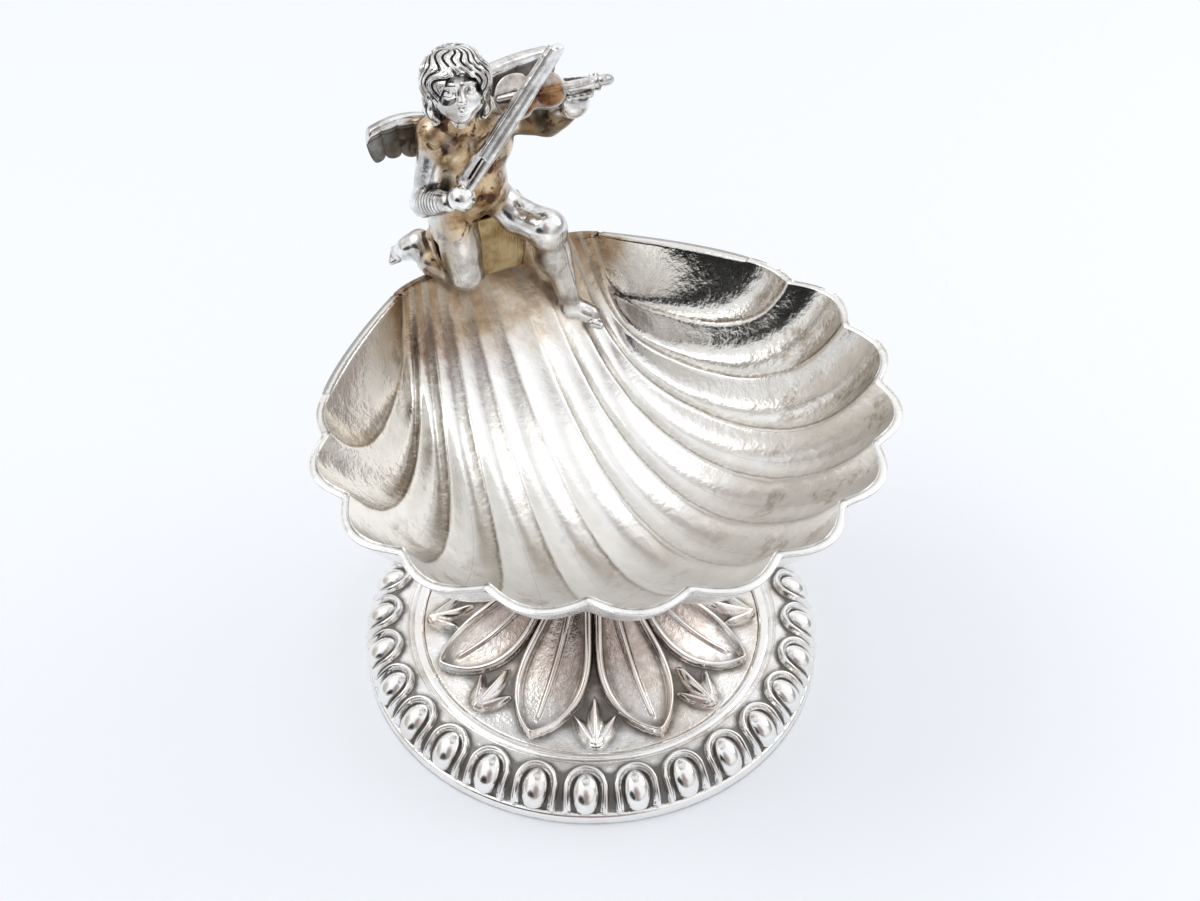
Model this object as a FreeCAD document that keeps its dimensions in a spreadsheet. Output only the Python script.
import FreeCAD, Part
import math
import os
import Sketcher
from FreeCAD import Placement, Rotation, Vector

# Silver salt cellar: a scallop-shell bowl on a round leaf-chased foot, with a winged
# child who kneels on the shell's hinge and plays a violin.
# Millimetres. Origin: centre of the foot's rim on the table. +Z is up, the shell opens
# towards -Y and its hinge lies towards +Y.

doc = FreeCAD.newDocument("salt_cellar")
sizes = doc.addObject("Spreadsheet::Sheet", "sizes")

# Driving dimensions: name, value in millimetres, what it measures
DIMENSIONS = [
    ("foot_radius", 30.0, "outer radius of the rim band"),
    ("band_height", 1.8, "height of the plain rim band"),
    ("band_width", 2.2, "radial width of the rim band"),
    ("band_round", 0.5, "rounding of the rim band's upper outer edge"),
    ("border_inset", 0.7, "border's outer edge, in from the rim band's edge"),
    ("border_width", 4.7, "radial width of the egg border"),
    ("border_rise", 3.4, "rise of the egg border above the rim band"),
    ("border_curve", 4.8, "radius of the border's rounded section"),
    ("strip_width", 2.4, "width of the plain strip inside the border"),
    ("strip_drop", 1.0, "drop from the border's top to the strip"),
    ("foot_wall", 1.2, "wall of the foot casting"),
    ("dome_curve", 21.0, "radius of the dome's hollow sweep"),
    ("neck_radius", 5.2, "radius of the dome's top"),
    ("neck_height", 18.5, "height of the dome's top"),
    ("neck_floor", 1.5, "thickness of the dome's top plate"),
    ("egg_half_width", 1.5, "half width of one egg"),
    ("egg_half_length", 2.5, "half length of one egg"),
    ("egg_rise", 1.1, "how far an egg stands proud of the border"),
    ("leaf_tip_inset", 0.6, "gap between a leaf's tip and the strip"),
    ("leaf_half_width", 4.3, "half width of one large leaf"),
    ("leaf_rise", 0.6, "how far a leaf stands proud of the dome"),
    ("leaflet_length", 6.6, "length of a small leaf between two large ones"),
    ("leaflet_half_width", 1.4, "half width of a small leaf"),
    ("ring_width", 1.7, "width of the half-round ring wire"),
    ("ring_curve", 0.9, "radius of the ring wire's rounded top"),
    ("rod_radius", 1.5, "radius of the threaded tie rod"),
    ("rod_clearance", 0.1, "radial clearance of the rod's plain holes"),
    ("rod_overhang", 0.6, "rod end below the nut"),
    ("rod_cover", 0.5, "metal between the rod's top and the shell"),
    ("washer_radius", 3.6, "outer radius of the clamp washer"),
    ("washer_thickness", 0.5, "thickness of the clamp washer"),
    ("nut_corner_radius", 3.2, "radius over the corners of the nut"),
    ("nut_height", 2.4, "height of the nut"),
    ("collar_bulge", 0.9, "radius of the collar's bead"),
    ("collar_height", 1.6, "height of the collar"),
    ("stem_waist", 3.8, "radius of the stem's waist"),
    ("stem_top_radius", 5.0, "radius of the stem's top"),
    ("stem_height", 3.3, "height of the stem above the collar"),
    ("stem_curve", 4.0, "radius of the stem's hollow sides"),
    ("boss_radius", 7.0, "radius of the boss under the shell"),
    ("boss_edge", 1.6, "height of the boss's conical side"),
    ("boss_reach", 3.0, "boss blank above its side, trimmed by the shell"),
    ("rim_height", 45.9, "height of the shell's rim"),
    ("notch_radius", 33.3, "notches of the rim, from the foot's axis"),
    ("notch_side_inset", 2.3, "how far the side notches lie further in"),
    ("shell_depth", 20.4, "depth of the bowl's sweep"),
    ("lobe_bulge", 2.0, "how far a lobe stands out between two notches"),
    ("lobe_side_reach", 30.5, "side lobes' outer end, from the foot's axis"),
    ("flute_depth", 1.1, "depth of a flute between two ridges"),
    ("ridge_lead", 12.6, "length over which a ridge turns out to the rim"),
    ("hinge_reach", 27.9, "hinge, from the foot's axis"),
    ("hinge_half_width", 14.1, "half width of the hinge end"),
    ("hinge_sweep", 2.6, "how far the hinge's corners lie further in"),
    ("shell_wall", 1.0, "wall of the shell"),
    ("block_half_width", 4.6, "half width of the seat block's top"),
    ("block_depth", 4.2, "front to back depth of the seat block"),
    ("block_height", 7.4, "height of the seat block above the rim"),
    ("block_sink", 1.6, "how far the block's foot reaches below the rim"),
    ("block_taper", 1.5, "how much narrower each side of its foot is"),
    ("block_saddle", 1.2, "how far the block reaches back over the rim's edge"),
    ("peg_radius", 0.8, "radius of the figure's locating peg"),
    ("peg_length", 5.0, "length of the figure's locating peg"),
    ("figure_height", 33.3, "height of the kneeling figure above the rim"),
    ("hip_half_width", 4.9, "half width of the hips"),
    ("hip_half_depth", 4.0, "half depth of the hips"),
    ("chest_half_width", 5.3, "half width of the chest"),
    ("chest_half_depth", 3.7, "half depth of the chest"),
    ("head_radius", 4.7, "half width of the head with its hair"),
    ("neck_joint_radius", 2.1, "radius of the figure's neck"),
    ("thigh_radius", 3.1, "radius of the upper thigh"),
    ("knee_radius", 2.5, "radius of the knee"),
    ("ankle_radius", 1.5, "radius of the ankle"),
    ("toe_radius", 1.2, "radius of the fore foot"),
    ("shoulder_radius", 2.0, "radius of the shoulder"),
    ("elbow_radius", 1.75, "radius of the elbow"),
    ("fist_radius", 1.7, "radius of the closed hand"),
    ("right_feather_width", 2.2, "width of one feather of the right wing"),
    ("left_feather_width", 3.1, "width of one feather of the left wing"),
    ("feather_first", 4.4, "reach of the outermost feather below the wing's top"),
    ("feather_step", 0.7, "how much further each next feather reaches"),
    ("feather_curve", 1.8, "radius of a feather's tip"),
    ("wing_thickness", 0.9, "thickness of the feathers"),
    ("wing_edge_width", 1.9, "width of a wing's thick top edge"),
    ("wing_edge_thickness", 2.0, "thickness of a wing's top edge"),
    ("violin_length", 8.4, "length of the violin's body"),
    ("violin_thickness", 1.8, "thickness of the violin's body"),
    ("lower_bout_length", 3.5, "from the violin's end to its lower corners"),
    ("lower_corner_half", 2.0, "half width over the lower corners"),
    ("lower_bout_curve", 2.4, "radius of the lower bout"),
    ("upper_bout_start", 5.4, "from the violin's end to its upper corners"),
    ("upper_corner_half", 1.75, "half width over the upper corners"),
    ("upper_bout_curve", 2.0, "radius of the upper bout"),
    ("waist_curve", 1.33, "radius of the violin's waist"),
    ("violin_neck_radius", 0.7, "radius of the neck"),
    ("scroll_radius", 1.2, "radius of the scroll"),
    ("scroll_width", 1.6, "width of the scroll"),
    ("bow_radius", 0.6, "radius of the bow's stick"),
    ("bow_tip_radius", 0.5, "radius of the stick at its tip"),
    ("bow_drop", 1.25, "hair ribbon's middle, from the stick's axis"),
    ("hair_thickness", 0.6, "thickness of the hair ribbon"),
    ("hair_width", 1.0, "width of the hair ribbon"),
    ("bow_block_length", 1.6, "length of the frog and of the tip block"),
    ("frog_start", 2.2, "from the middle of the hand to the frog"),
]

for row, (alias, value, meaning) in enumerate(DIMENSIONS, start=1):
    sizes.set("A%d" % row, meaning)
    sizes.set("B%d" % row, str(value))
    sizes.setAlias("B%d" % row, alias)
doc.recompute()

ALIASES = [alias for alias, value, meaning in DIMENSIONS]

# Counts
LOBE_COUNT = 13
EGG_COUNT = 28
LEAF_COUNT = 8
FEATHER_COUNT = 4

# Bearings in degrees from +X of the first small leaf and of the first egg
LEAFLET_TURN = -115.5
EGG_TURN = -105.5


def size(name):
    """One driving dimension, read from the sheet."""
    return float(sizes.get(name))


def length(text):
    """Value of a sum of named sizes, such as 'foot_radius - band_width'."""
    value = 0.0
    sign = 1.0
    for word in text.split():
        if word == "+":
            sign = 1.0
        elif word == "-":
            sign = -1.0
        elif word != "0":
            value += sign * size(word)
    return value


def bound(text):
    """The same sum as an expression on the sheet's cells."""
    return " ".join("sizes." + word if word in ALIASES else word for word in text.split())


def origin_plane(body, role):
    """The body's own origin plane with that role."""
    for feature in body.Origin.OriginFeatures:
        if feature.Role == role:
            return feature
    return None


def arc_between(start, end, radius, centre_side):
    """Arc from start to end, its centre to the left (1) or right (-1) of the way."""
    middle = (start + end) * 0.5
    along = end - start
    half = along.Length / 2
    across = Vector(-along.y, along.x, 0).normalize()
    centre = middle + across * (centre_side * math.sqrt(max(radius ** 2 - half ** 2, 0.0)))
    first, last = (start, end) if centre_side > 0 else (end, start)
    begin = math.atan2(first.y - centre.y, first.x - centre.x)
    finish = math.atan2(last.y - centre.y, last.x - centre.x)
    if finish < begin:
        finish += 2 * math.pi
    circle = Part.Circle(centre, Vector(0, 0, 1), radius)
    return Part.ArcOfCircle(circle, begin, finish)


def add_outline(body, name, role, corners, arcs=None):
    """Closed sketch through corners given as sums of named sizes.

    arcs maps the number of an edge to its radius and the side of its centre.
    """
    arcs = arcs or {}
    sketch = body.newObject("Sketcher::SketchObject", name)
    sketch.AttachmentSupport = (origin_plane(body, role), [""])
    sketch.MapMode = "FlatFace"
    points = [Vector(length(across), length(up), 0) for across, up in corners]
    count = len(points)
    ends = []
    for number, start in enumerate(points):
        end = points[(number + 1) % count]
        if number in arcs:
            radius, side = arcs[number]
            sketch.addGeometry(arc_between(start, end, length(radius), side), False)
            ends.append((1, 2) if side > 0 else (2, 1))
        else:
            sketch.addGeometry(Part.LineSegment(start, end), False)
            ends.append((1, 2))
    for number in range(count):
        following = (number + 1) % count
        sketch.addConstraint(Sketcher.Constraint(
            "Coincident", number, ends[number][1], following, ends[following][0]))
    for number, (across, up) in enumerate(corners):
        here = ends[number][0]
        pin_corner(sketch, "DistanceX", number, here, across, -2)
        pin_corner(sketch, "DistanceY", number, here, up, -1)
    for number, (radius, side) in arcs.items():
        index = sketch.addConstraint(Sketcher.Constraint("Radius", number, length(radius)))
        sketch.setExpression("Constraints[%d]" % index, bound(radius))
    return sketch


def pin_corner(sketch, kind, edge, end, text, axis):
    """Hold one end of an edge at its named distance, or on the axis where that is zero."""
    if text == "0":
        sketch.addConstraint(Sketcher.Constraint("PointOnObject", edge, end, axis))
        return
    index = sketch.addConstraint(Sketcher.Constraint(kind, -1, 1, edge, end, length(text)))
    sketch.setExpression("Constraints[%d]" % index, bound(text))


def turned(label, corners, arcs=None):
    """A body turned about Z from a half section of (radius, height) corners."""
    body = doc.addObject("PartDesign::Body", label)
    sketch = add_outline(body, label + "_section", "XZ_Plane", corners, arcs)
    revolution = body.newObject("PartDesign::Revolution", label + "_turning")
    revolution.Profile = sketch
    revolution.ReferenceAxis = (sketch, ["V_Axis"])
    revolution.Angle = 360
    sketch.Visibility = False
    body.Tip = revolution
    doc.recompute()
    return body


def padded(body, name, corners, arcs, thickness):
    """A pad of an outline on the body's XY plane, half its thickness to each side."""
    sketch = add_outline(body, name + "_outline", "XY_Plane", corners, arcs)
    pad = body.newObject("PartDesign::Pad", name)
    pad.Profile = sketch
    pad.Midplane = True
    pad.setExpression("Length", bound(thickness))
    body.Tip = pad
    doc.recompute()
    return pad


def cylinder(label, radius, bottom, top):
    """A cylinder on the foot's axis between two named heights."""
    shape = doc.addObject("Part::Cylinder", label)
    shape.setExpression("Radius", bound(radius))
    shape.setExpression("Height", bound(top) + " - (" + bound(bottom) + ")")
    shape.setExpression("Placement.Base.z", bound(bottom))
    return shape


def boolean(kind, label, base, tool):
    """Cut, fuse or intersect two objects of the document."""
    result = doc.addObject("Part::" + kind, label)
    result.Base = base
    result.Tool = tool
    doc.recompute()
    return result


def solid_feature(label, shape):
    """A document object that carries a shape worked out here."""
    feature = doc.addObject("Part::Feature", label)
    feature.Shape = shape
    return feature


# Named heights and radii that several pieces share
BORDER_FOOT = "foot_radius - border_inset"
BORDER_CREST = "foot_radius - border_inset - border_width"
CREST_HEIGHT = "band_height + border_rise"
STRIP_HEIGHT = "band_height + border_rise - strip_drop"
FIELD_RADIUS = "foot_radius - border_inset - border_width - strip_width"
BAND_INSIDE = "foot_radius - band_width"
COLLAR_TOP = "neck_height + collar_height"
STEM_TOP = "neck_height + collar_height + stem_height"
BOSS_SIDE = "neck_height + collar_height + stem_height + boss_edge"
NECK_UNDERSIDE = "neck_height - neck_floor"
WASHER_UNDERSIDE = "neck_height - neck_floor - washer_thickness"
NUT_UNDERSIDE = "neck_height - neck_floor - washer_thickness - nut_height"

# Rim band: the plain soldered strip that the salt stands on
rim_band = turned("rim_band", [
    (BAND_INSIDE, "0"),
    ("foot_radius", "0"),
    ("foot_radius", "band_height - band_round"),
    ("foot_radius - band_round", "band_height"),
    (BAND_INSIDE, "band_height"),
], {2: ("band_round", 1)})

# Foot: the domed casting, before its eggs and leaves
foot_blank = turned("foot_blank", [
    (BORDER_FOOT, "band_height"),
    (BORDER_CREST, CREST_HEIGHT),
    (BORDER_CREST, STRIP_HEIGHT),
    (FIELD_RADIUS, STRIP_HEIGHT),
    ("neck_radius", "neck_height"),
    ("rod_radius + rod_clearance", "neck_height"),
    ("rod_radius + rod_clearance", NECK_UNDERSIDE),
    ("neck_radius - foot_wall", NECK_UNDERSIDE),
    (FIELD_RADIUS, STRIP_HEIGHT + " - foot_wall"),
    (BORDER_CREST, STRIP_HEIGHT + " - foot_wall"),
    (BAND_INSIDE, "band_height"),
], {
    0: ("border_curve", 1),
    3: ("dome_curve", -1),
    7: ("dome_curve", 1),
    9: ("border_curve", -1),
})


def dome_skin(rise):
    """Part of the dome's wall from its middle outwards, raised by rise, turned about Z."""
    outer = Vector(length(FIELD_RADIUS), 0, length(STRIP_HEIGHT))
    inner = Vector(size("neck_radius"), 0, size("neck_height"))
    chord = inner - outer
    half = chord.Length / 2
    square = Vector(chord.z, 0, -chord.x).normalize()
    centre = (outer + inner) * 0.5 + square * math.sqrt(size("dome_curve") ** 2 - half ** 2)
    edges = []
    ends = []
    for radius in (size("dome_curve") - rise, size("dome_curve") + size("foot_wall") / 2):
        points = []
        for place in (outer, (outer + inner) * 0.5, inner):
            points.append(centre + (place - centre).normalize() * radius)
        ends.append((points[0], points[2]))
        edges.append(Part.Arc(points[0], points[1], points[2]).toShape())
    edges.append(Part.makeLine(ends[0][0], ends[1][0]))
    edges.append(Part.makeLine(ends[0][1], ends[1][1]))
    face = Part.Face(Part.Wire(Part.__sortEdges__(edges)))
    return face.revolve(Vector(0, 0, 0), Vector(0, 0, 1), 360)


def leaf_prism(tip, base, half_width):
    """Upright prism of a pointed leaf between two radii on the X axis."""
    middle = (tip + base) / 2
    ends = (Vector(tip, 0, 0), Vector(base, 0, 0))
    sides = []
    for side in (1, -1):
        top = Vector(middle, side * half_width, 0)
        sides.append(Part.Arc(ends[0], top, ends[1]).toShape())
    return Part.Face(Part.Wire(sides)).extrude(Vector(0, 0, size("rim_height")))


def around_foot(shape, count, start):
    """Copies of a shape, spaced evenly round the foot's axis from a starting angle."""
    copies = []
    for number in range(count):
        angle = start + number * 360.0 / count
        copies.append(shape.rotated(Vector(0, 0, 0), Vector(0, 0, 1), angle))
    return copies


def egg():
    """One egg on the border's rounded section, at angle zero."""
    foot = Vector(length(BORDER_FOOT), 0, size("band_height"))
    crest = Vector(length(BORDER_CREST), 0, length(CREST_HEIGHT))
    along = (crest - foot).normalize()
    outward = Vector(along.z, 0, -along.x)
    half = (crest - foot).Length / 2
    sag = size("border_curve") - math.sqrt(size("border_curve") ** 2 - half ** 2)
    shape = Part.makeSphere(1.0)
    matrix = FreeCAD.Matrix()
    matrix.scale(size("egg_half_length"), size("egg_half_width"), size("egg_rise"))
    shape = shape.transformGeometry(matrix)
    turn = Rotation(along, Vector(0, 1, 0), outward, "ZXY")
    centre = (foot + crest) * 0.5 + outward * sag
    shape.Placement = Placement(centre, turn)
    return shape


# Large and small leaves stand proud of the dome, eggs stand proud of the border
leaf_tip = length(FIELD_RADIUS) - size("leaf_tip_inset")
leaf_skin = dome_skin(size("leaf_rise"))
leaf = leaf_skin.common(leaf_prism(leaf_tip, size("neck_radius"), size("leaf_half_width")))
leaflet = leaf_skin.common(leaf_prism(
    leaf_tip, leaf_tip - size("leaflet_length"), size("leaflet_half_width")))
leaf_step = 360.0 / LEAF_COUNT
reliefs = around_foot(leaf, LEAF_COUNT, LEAFLET_TURN + leaf_step / 2)
reliefs += around_foot(leaflet, LEAF_COUNT, LEAFLET_TURN)
reliefs += around_foot(egg(), EGG_COUNT, EGG_TURN)
foot_shape = foot_blank.Shape.fuse(reliefs)
foot = solid_feature("foot", foot_shape)

# Ring wire: the half-round ring between the egg border and the leaves
ring_wire = turned("ring_wire", [
    (FIELD_RADIUS, STRIP_HEIGHT),
    (FIELD_RADIUS + " + ring_width", STRIP_HEIGHT),
], {1: ("ring_curve", 1)})

# Collar, stem and the boss under the shell, stacked on the dome's top
stem_collar = turned("stem_collar", [
    ("rod_radius + rod_clearance", "neck_height"),
    ("neck_radius", "neck_height"),
    ("neck_radius", COLLAR_TOP),
    ("rod_radius + rod_clearance", COLLAR_TOP),
], {1: ("collar_bulge", 1)})

stem = turned("stem", [
    ("rod_radius + rod_clearance", COLLAR_TOP),
    ("stem_waist + collar_bulge", COLLAR_TOP),
    ("stem_top_radius", STEM_TOP),
    ("rod_radius + rod_clearance", STEM_TOP),
], {1: ("stem_curve", -1)})

boss_blank = turned("boss_blank", [
    ("0", STEM_TOP),
    ("stem_top_radius", STEM_TOP),
    ("boss_radius", BOSS_SIDE),
    ("boss_radius", BOSS_SIDE + " + boss_reach"),
    ("0", BOSS_SIDE + " + boss_reach"),
])


# The bowl's shape, all as shares between 0 and 1 of the named sizes above
NOTCH_STEP = 18.35
SIDE_NOTCH_START = 60.0
SIDE_NOTCH_SPAN = 41.0
ROWS_ACROSS = 14
COLUMNS_PER_LOBE = 12
SIDE_NOTCH_POWER = 1.5
HINGE_TURN = 1.35
LEAD_POWER = 4
DEPTH_SIDE_SHARE = 0.72
DEPTH_SIDE_POWER = 1.75
SIDE_WALL_POWER = 16
RISE_POWER = 3.2
RISE_SIDE_LOSS = 1.1
BACK_RUN_SHARE = 0.17
BACK_SIDE_LOSS = 0.94
BACK_SIDE_LIMIT_SHARE = 0.9
BACK_SIDE_POWER = 1.5
BACK_POWER = 1.3
SIDE_END_BEARING = 113.5
CREST_SOFT_SHARE = 0.12
SIDE_BULGE_SHARE = 0.25
EDGE_SHARE = 0.02
RIM_LEVEL_POWER = 12
SIDE_LEVEL_POWER = 40
SLOPE_STEP = 0.004
ROW_POWER = 1.6
SPLINE_DEGREE = 2


def across_share(lobe):
    """Place across the fan, from -1 at one side edge to 1 at the other."""
    return 2.0 * lobe / LOBE_COUNT - 1.0


def crest_bump(lobe):
    """0 on a ridge, 1 in the middle of a flute, with a softened crest."""
    wave = abs(math.sin(math.pi * lobe))
    soft = CREST_SOFT_SHARE
    return (math.sqrt(wave ** 2 + soft ** 2) - soft) / (math.sqrt(1 + soft ** 2) - soft)


def rim_point(lobe, bulge):
    """Point of the rim in plan: a circle of notches with the lobes bulging out of it."""
    bearing = NOTCH_STEP * (lobe - LOBE_COUNT / 2)
    first = NOTCH_STEP * (1 - LOBE_COUNT / 2)
    beyond = max(abs(bearing) + first, 0.0) / NOTCH_STEP
    side = max(abs(bearing) - SIDE_NOTCH_START, 0.0) / SIDE_NOTCH_SPAN
    radius = size("notch_radius") - size("notch_side_inset") * min(side, 1.0) ** SIDE_NOTCH_POWER
    radius += (size("lobe_side_reach") - radius) * beyond
    step_share = (SIDE_END_BEARING + first) / NOTCH_STEP
    if beyond > 0:
        bearing = math.copysign(-first + beyond * step_share * NOTCH_STEP, bearing)
    bulge_share = SIDE_BULGE_SHARE if beyond > 0 else 1.0
    radius += bulge * bulge_share * crest_bump(lobe)
    turn = math.radians(bearing)
    return Vector(radius * math.sin(turn), -radius * math.cos(turn), 0)


def hinge_point(lobe):
    """Point of the hinge end in plan, where the ridges start."""
    share = across_share(lobe)
    sweep = size("hinge_sweep") * share ** 2
    across = size("hinge_half_width") * math.sin(HINGE_TURN * share)
    return Vector(across, size("hinge_reach") - sweep, 0)


def bowl_point(lobe, way, bulge, flute):
    """Point of the bowl's inside, lobe numbers across it and way from hinge to rim.

    In plan each ridge is a curve that leaves the hinge, runs down the bowl and turns
    out to meet the rim square. Its height drops fast behind the hinge and climbs
    steeply to the rim.
    """
    share = abs(across_share(lobe))
    rim = rim_point(lobe, bulge * way ** 3)
    hinge = hinge_point(lobe)
    lead = size("ridge_lead") * (1 - share ** LEAD_POWER)
    bend = rim - Vector(rim).normalize() * lead
    point = hinge * (1 - way) ** 2 + bend * (2 * way * (1 - way)) + rim * way ** 2
    depth = size("shell_depth") * (1 - DEPTH_SIDE_SHARE * share ** DEPTH_SIDE_POWER)
    depth *= 1 - share ** SIDE_WALL_POWER
    side = min(share, BACK_SIDE_LIMIT_SHARE) ** BACK_SIDE_POWER
    run = BACK_RUN_SHARE * (1 - BACK_SIDE_LOSS * side)
    back = 1 - math.exp(-(way / run) ** BACK_POWER)
    rise = 1 - way ** (RISE_POWER - RISE_SIDE_LOSS * share ** LEAD_POWER)
    groove = flute * crest_bump(lobe) * min(way / BACK_RUN_SHARE, 1.0)
    groove *= 1 - share ** SIDE_WALL_POWER
    point.z = size("rim_height") - (depth + groove) * back * rise
    return point


def wall_direction(lobe, way):
    """Outward direction of the smooth bowl, level along its rim."""
    low = max(way - SLOPE_STEP, 0.0)
    high = min(way + SLOPE_STEP, 1.0)
    left = max(lobe - SLOPE_STEP, 0.0)
    right = min(lobe + SLOPE_STEP, float(LOBE_COUNT))
    along = bowl_point(lobe, high, 0, 0) - bowl_point(lobe, low, 0, 0)
    over = bowl_point(right, way, 0, 0) - bowl_point(left, way, 0, 0)
    normal = over.cross(along)
    if normal.z > 0:
        normal = -normal
    normal.normalize()
    place = bowl_point(lobe, way, 0, 0)
    level = Vector(place.x, place.y, 0).normalize()
    edge = (1 - way ** RIM_LEVEL_POWER) * (1 - math.exp(-way / EDGE_SHARE))
    edge *= 1 - abs(across_share(lobe)) ** SIDE_LEVEL_POWER
    normal.z *= edge
    return (normal + level * (1 - edge)).normalize()


def bowl_grid(thickness):
    """Rows of points of the bowl's surface, moved outwards by a thickness."""
    rows = []
    columns = LOBE_COUNT * COLUMNS_PER_LOBE
    for row in range(ROWS_ACROSS + 1):
        share = row / ROWS_ACROSS
        way = share ** ROW_POWER * (1 - share) + share * (2 - share) * share
        line = []
        for column in range(columns + 1):
            lobe = column / COLUMNS_PER_LOBE
            point = bowl_point(lobe, way, size("lobe_bulge"), size("flute_depth"))
            line.append(point + wall_direction(lobe, way) * thickness)
        rows.append(line)
    return rows


def clamped_knots(count, degree):
    """Even knots of a spline that starts and ends on its first and last points."""
    spans = count - degree
    knots = [float(number) for number in range(spans + 1)]
    repeats = [degree + 1] + [1] * (spans - 1) + [degree + 1]
    return knots, repeats


def bowl_face(thickness):
    """Smooth face that follows the bowl's points."""
    rows = bowl_grid(thickness)
    down_knots, down_repeats = clamped_knots(len(rows), SPLINE_DEGREE)
    over_knots, over_repeats = clamped_knots(len(rows[0]), SPLINE_DEGREE)
    surface = Part.BSplineSurface()
    surface.buildFromPolesMultsKnots(
        rows, down_repeats, over_repeats, down_knots, over_knots,
        False, False, SPLINE_DEGREE, SPLINE_DEGREE)
    return surface.toShape()


# Shell bowl: two fluted faces joined by a flat rim
inside = bowl_face(0.0)
outside = bowl_face(size("shell_wall"))
rim_face = Part.makeFace([outside.OuterWire, inside.OuterWire], "Part::FaceMakerBullseye")
skin = Part.makeShell([inside, outside] + rim_face.Faces)
skin.sewShape()
shell_bowl = solid_feature("shell_bowl", Part.Solid(skin))

# Boss: trimmed by the shell's underside and bored for the tie rod
tie_rod = cylinder("tie_rod", "rod_radius", NUT_UNDERSIDE + " - rod_overhang",
                   BOSS_SIDE + " - rod_cover")
doc.recompute()
below_shell = outside.extrude(Vector(0, 0, -size("rim_height")))
boss_shape = boss_blank.Shape.common(below_shell).cut(tie_rod.Shape)
shell_boss = solid_feature("shell_boss", boss_shape)

# Washer and nut that clamp the stack from inside the foot
washer_disc = cylinder("washer_disc", "washer_radius", WASHER_UNDERSIDE, NECK_UNDERSIDE)
washer_hole = cylinder("washer_hole", "rod_radius + rod_clearance",
                       WASHER_UNDERSIDE, NECK_UNDERSIDE)
clamp_washer = boolean("Cut", "clamp_washer", washer_disc, washer_hole)
nut_blank = doc.addObject("Part::Prism", "nut_blank")
nut_blank.Polygon = 6
nut_blank.setExpression("Circumradius", bound("nut_corner_radius"))
nut_blank.setExpression("Height", bound("nut_height"))
nut_blank.setExpression("Placement.Base.z", bound(NUT_UNDERSIDE))
nut_hole = cylinder("nut_hole", "rod_radius", NUT_UNDERSIDE, WASHER_UNDERSIDE)
clamp_nut = boolean("Cut", "clamp_nut", nut_blank, nut_hole)

# Places on the figure, as shares of its height, from the hinge's middle at rim level
PLACE_SHARES = {
    "seat": (-0.09, 0.0, 0.215),
    "pelvis": (-0.093, -0.01, 0.285),
    "waist": (-0.1, -0.03, 0.4),
    "chest": (-0.1, -0.035, 0.54),
    "shoulders": (-0.12, -0.035, 0.655),
    "nape": (-0.13, -0.055, 0.715),
    "head": (-0.153, -0.111, 0.856),
    "right_shoulder": (-0.219, -0.036, 0.625),
    "right_elbow": (-0.293, -0.087, 0.39),
    "right_hand": (-0.229, -0.304, 0.532),
    "left_shoulder": (0.009, -0.054, 0.667),
    "left_elbow": (0.189, -0.111, 0.607),
    "left_hand": (0.237, -0.258, 0.775),
    "right_hip": (-0.18, -0.02, 0.265),
    "right_knee": (-0.15, -0.072, 0.002),
    "right_ankle": (-0.272, 0.065, 0.1),
    "right_toe": (-0.345, 0.135, 0.052),
    "left_hip": (-0.024, -0.057, 0.243),
    "left_knee": (0.144, -0.216, 0.225),
    "left_ankle": (0.243, -0.186, -0.18),
    "left_toe": (0.312, -0.243, -0.243),
    "violin_end": (-0.052, -0.194, 0.808),
    "violin_scroll": (0.306, -0.296, 0.844),
    "bow_tip": (0.161, -0.276, 0.997),
    "right_wing_root": (-0.198, 0.069, 0.67),
    "right_wing_tip": (-0.426, 0.096, 0.64),
    "left_wing_root": (-0.027, 0.051, 0.772),
    "left_wing_tip": (0.33, 0.126, 0.757),
}


def place(name):
    """A named point of the figure in the part's frame."""
    shares = PLACE_SHARES[name]
    start = Vector(0, size("hinge_reach"), size("rim_height"))
    return start + Vector(*shares) * size("figure_height")


def limb(points):
    """Tapered limb: a ball at each joint and a cone from each joint to the next."""
    shape = None
    for number, (joint, radius) in enumerate(points):
        ball = Part.makeSphere(radius, joint)
        shape = ball if shape is None else shape.fuse(ball)
        if number + 1 < len(points):
            far, far_radius = points[number + 1]
            way = far - joint
            shape = shape.fuse(Part.makeCone(radius, far_radius, way.Length, joint, way))
    return shape.removeSplitter()


def oval_loft(sections):
    """Smooth closed form through level ovals of (centre, half width, half depth)."""
    wires = []
    for centre, half_width, half_depth in sections:
        oval = Part.Ellipse(Vector(0, 0, 0), half_width, half_depth).toShape()
        oval.rotate(Vector(0, 0, 0), Vector(0, 0, 1), TORSO_TURN)
        oval.translate(centre)
        wires.append(Part.Wire([oval]))
    return Part.makeLoft(wires, True, False)


def seated(label, shape, neighbours):
    """The shape cut back by the pieces that it meets, as one solid of the document."""
    for neighbour in neighbours:
        shape = shape.cut(neighbour.Shape)
    solids = sorted(shape.Solids, key=lambda solid: solid.Volume)
    return solid_feature(label, solids[-1])


def facing(start, end, face):
    """Placement with X from start to end and Z turned as near to face as that allows."""
    along = (end - start).normalize()
    across = face.cross(along).normalize()
    return Placement(start, Rotation(along, across, along.cross(across), "XYZ"))


def times(count, name):
    """The sum of a named size taken count times, written out."""
    return " + ".join([name] * count) if count else "0"


def block_between(frame, low, high):
    """A box between two corners given in the axes of a placement."""
    across = high - low
    box = Part.makeBox(across.x, across.y, across.z, low)
    box.Placement = frame.multiply(box.Placement)
    return box


# Degrees that the figure's body turns towards its violin
TORSO_TURN = -6.0

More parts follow.
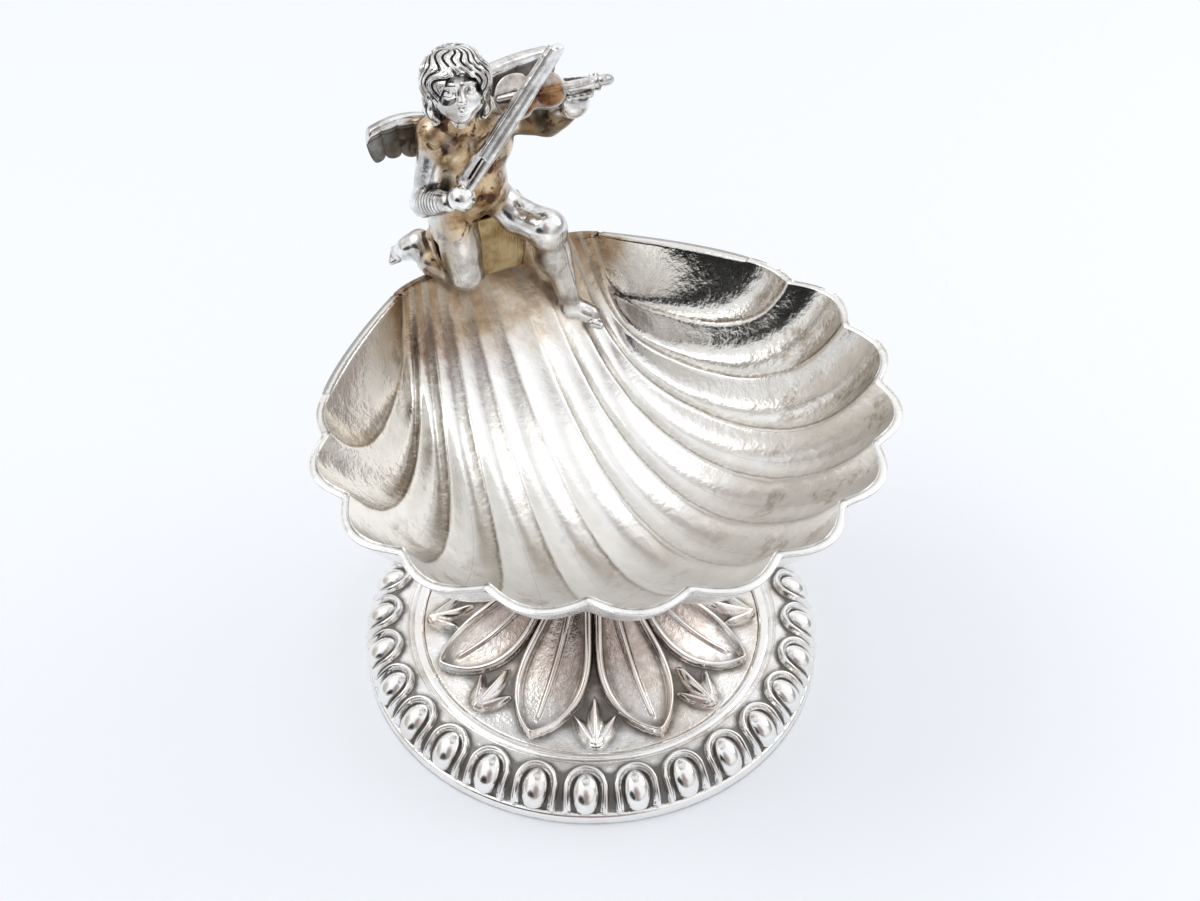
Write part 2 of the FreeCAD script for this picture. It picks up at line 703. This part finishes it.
# Torso sections: place, then size and share of its half width and of its half depth
TORSO_SHARES = [
    ("seat", "hip_half_width", 0.75, "hip_half_depth", 0.75),
    ("pelvis", "hip_half_width", 1.0, "hip_half_depth", 1.0),
    ("waist", "hip_half_width", 0.9, "hip_half_depth", 0.93),
    ("chest", "chest_half_width", 1.0, "chest_half_depth", 1.0),
    ("shoulders", "chest_half_width", 0.88, "chest_half_depth", 0.8),
    ("nape", "neck_joint_radius", 1.15, "neck_joint_radius", 1.0),
]

# Head: width, depth and height as shares of the head's radius
HEAD_SHARES = (0.95, 1.0, 1.05)

# Neck: its radius inside the head, as a share of its radius at the nape
THROAT_SHARE = 0.9

# Directions that the flat pieces of the figure face
VIOLIN_FACE = Vector(-0.28, -0.73, 0.62)
BOW_FACE = Vector(-0.3, -0.95, 0)
RIGHT_WING_FACE = Vector(0, 1, 0)
LEFT_WING_FACE = Vector(0, -1, 0)

# Seat block: a tapered saddle over the rim at the hinge
seat_blank = doc.addObject("Part::Wedge", "seat_blank")
seat_blank.Ymin = 0
seat_blank.Zmin = 0
seat_blank.Z2min = 0
for name, text in (
        ("Xmin", "block_taper - block_half_width"),
        ("Xmax", "block_half_width - block_taper"),
        ("X2min", "0 - block_half_width"),
        ("X2max", "block_half_width"),
        ("Ymax", "block_sink + block_height"),
        ("Zmax", "block_depth"),
        ("Z2max", "block_depth")):
    seat_blank.setExpression(name, bound(text))
block_back = length("hinge_reach + shell_wall + block_saddle")
seat_blank.Placement = Placement(
    Vector(0, block_back, length("rim_height - block_sink")), Rotation(Vector(1, 0, 0), 90))
doc.recompute()
seat_block = seated("seat_block", seat_blank.Shape, [shell_bowl])

# Torso, with the peg that locates it on the block
peg_foot = Vector(place("pelvis").x + size("hip_half_width") - size("knee_radius"),
                  block_back - size("block_depth") / 2,
                  place("pelvis").z - size("peg_length"))
figure_peg = doc.addObject("Part::Cylinder", "figure_peg")
figure_peg.setExpression("Radius", bound("peg_radius"))
figure_peg.setExpression("Height", bound("peg_length"))
figure_peg.Placement = Placement(peg_foot, Rotation())
doc.recompute()
seat_block.Shape = seat_block.Shape.cut(figure_peg.Shape)
torso_sections = []
for name, width, width_share, depth, depth_share in TORSO_SHARES:
    torso_sections.append((place(name), size(width) * width_share, size(depth) * depth_share))
torso = seated("torso", oval_loft(torso_sections), [seat_block, figure_peg])

# Head with the neck
skull = Part.makeSphere(1.0)
stretch = FreeCAD.Matrix()
stretch.scale(*[size("head_radius") * share for share in HEAD_SHARES])
skull = skull.transformGeometry(stretch)
skull.translate(place("head"))
throat = limb([
    (place("nape"), size("neck_joint_radius")),
    (place("head"), size("neck_joint_radius") * THROAT_SHARE),
])
head = seated("head", skull.fuse(throat), [torso])

# Legs: the right one kneels in the shell, the left foot stands forward in it
right_leg = seated("right_leg", limb([
    (place("right_hip"), size("thigh_radius")),
    (place("right_knee"), size("knee_radius")),
    (place("right_ankle"), size("ankle_radius")),
    (place("right_toe"), size("toe_radius")),
]), [torso, seat_block, shell_bowl])
left_leg = seated("left_leg", limb([
    (place("left_hip"), size("thigh_radius")),
    (place("left_knee"), size("knee_radius")),
    (place("left_ankle"), size("ankle_radius")),
    (place("left_toe"), size("toe_radius")),
]), [torso, seat_block, shell_bowl, right_leg])

# Violin: body with two bouts and a waist, neck with its scroll
violin_frame = facing(place("violin_end"), place("violin_scroll"), VIOLIN_FACE)
violin_blank = doc.addObject("PartDesign::Body", "violin_blank")
padded(violin_blank, "violin_plate", [
    ("0", "0"),
    ("lower_bout_length", "0 - lower_corner_half"),
    ("upper_bout_start", "0 - upper_corner_half"),
    ("violin_length", "0"),
    ("upper_bout_start", "upper_corner_half"),
    ("lower_bout_length", "lower_corner_half"),
], {
    0: ("lower_bout_curve", 1),
    1: ("waist_curve", -1),
    2: ("upper_bout_curve", 1),
    3: ("upper_bout_curve", 1),
    4: ("waist_curve", -1),
    5: ("lower_bout_curve", 1),
}, "violin_thickness")
violin_blank.Placement = violin_frame
doc.recompute()
violin_body = seated("violin_body", violin_blank.Shape, [head, torso])
neck_run = place("violin_scroll") - place("violin_end")
neck_rod = Part.makeCylinder(
    size("violin_neck_radius"), neck_run.Length - size("violin_length"),
    Vector(size("violin_length"), 0, 0), Vector(1, 0, 0))
scroll = Part.makeCylinder(
    size("scroll_radius"), size("scroll_width"),
    Vector(neck_run.Length, size("scroll_width") / 2, 0), Vector(0, -1, 0))
neck_shape = neck_rod.fuse(scroll).removeSplitter()
neck_shape.Placement = violin_frame
violin_neck = seated("violin_neck", neck_shape, [violin_body])

# Bow: stick with frog and tip block, and the flat ribbon of hair between them
bow_frame = facing(place("right_hand"), place("bow_tip"), BOW_FACE)
bow_run = (place("bow_tip") - place("right_hand")).Length
stick = Part.makeCone(
    size("bow_radius"), size("bow_tip_radius"), bow_run + size("fist_radius"),
    Vector(-size("fist_radius"), 0, 0), Vector(1, 0, 0))
hair_half = Vector(0, size("hair_thickness") / 2, size("hair_width") / 2)
drop = Vector(0, size("bow_drop"), 0)
frog_end = length("frog_start + bow_block_length")
tip_start = bow_run - size("bow_block_length")
bow_shape = stick
for near, far in ((size("frog_start"), frog_end), (tip_start, bow_run)):
    low = Vector(near, 0, -hair_half.z)
    high = Vector(far, 0, 0) + drop + hair_half
    block = Part.makeBox(far - near, high.y - low.y, high.z - low.z, low)
    bow_shape = bow_shape.fuse(block)
bow_shape.Placement = bow_frame
bow_stick = seated("bow_stick", bow_shape, [violin_body])
bow_hair = solid_feature("bow_hair", block_between(
    bow_frame, Vector(frog_end, 0, 0) + drop - hair_half,
    Vector(tip_start, 0, 0) + drop + hair_half))

# Arms: the right hand closes on the bow, the left hand on the violin's neck
right_arm = seated("right_arm", limb([
    (place("right_shoulder"), size("shoulder_radius")),
    (place("right_elbow"), size("elbow_radius")),
    (place("right_hand"), size("fist_radius")),
]), [torso, head, right_leg, bow_stick])
left_arm = seated("left_arm", limb([
    (place("left_shoulder"), size("shoulder_radius")),
    (place("left_elbow"), size("elbow_radius")),
    (place("left_hand"), size("fist_radius")),
]), [torso, head, violin_body, violin_neck])


def wing(label, feather_width, root, tip, face, neighbours):
    """A wing: flat feathers with round tips under a thicker top edge."""
    corners = [("0", "0"), (times(FEATHER_COUNT, feather_width), "0")]
    arcs = {}
    for number in range(FEATHER_COUNT + 1):
        steps = FEATHER_COUNT - number
        reach = "feather_first"
        if steps:
            reach += " + " + times(steps, "feather_step")
        corners.append((times(steps, feather_width), reach))
        if steps:
            arcs[len(corners) - 1] = ("feather_curve", 1)
    body = doc.addObject("PartDesign::Body", label + "_feathers")
    padded(body, label + "_plate", corners, arcs, "wing_thickness")
    edge = doc.addObject("PartDesign::Body", label + "_edge")
    padded(edge, label + "_bar", [
        ("0", "0 - wing_edge_width"),
        (times(FEATHER_COUNT, feather_width), "0 - wing_edge_width"),
        (times(FEATHER_COUNT, feather_width), "0"),
        ("0", "0"),
    ], {}, "wing_edge_thickness")
    shape = body.Shape.fuse(edge.Shape).removeSplitter()
    frame = facing(tip, root, face)
    shape.Placement = frame
    return seated(label, shape, neighbours)


right_wing = wing(
    "right_wing", "right_feather_width", place("right_wing_root"), place("right_wing_tip"),
    RIGHT_WING_FACE, [torso, right_arm])
left_wing = wing(
    "left_wing", "left_feather_width", place("left_wing_root"), place("left_wing_tip"),
    LEFT_WING_FACE, [torso, head, left_arm, right_wing])

# The pieces of the salt cellar, each written under its own name
NODES = [
    rim_band, foot, ring_wire, stem_collar, stem, shell_boss, tie_rod, clamp_washer,
    clamp_nut, shell_bowl, seat_block, figure_peg, torso, head, right_arm, left_arm,
    right_leg, left_leg, right_wing, left_wing, violin_body, violin_neck, bow_stick, bow_hair,
]

doc.recompute()
for item in doc.Objects:
    if "Invalid" in item.State or "Error" in item.State:
        raise RuntimeError("object failed: " + item.Label)
os.makedirs("parts", exist_ok=True)
for node in NODES:
    if node.Shape.isNull() or not node.Shape.isValid():
        raise RuntimeError("bad shape: " + node.Label)
    node.Shape.exportStep("parts/" + node.Label + ".step")
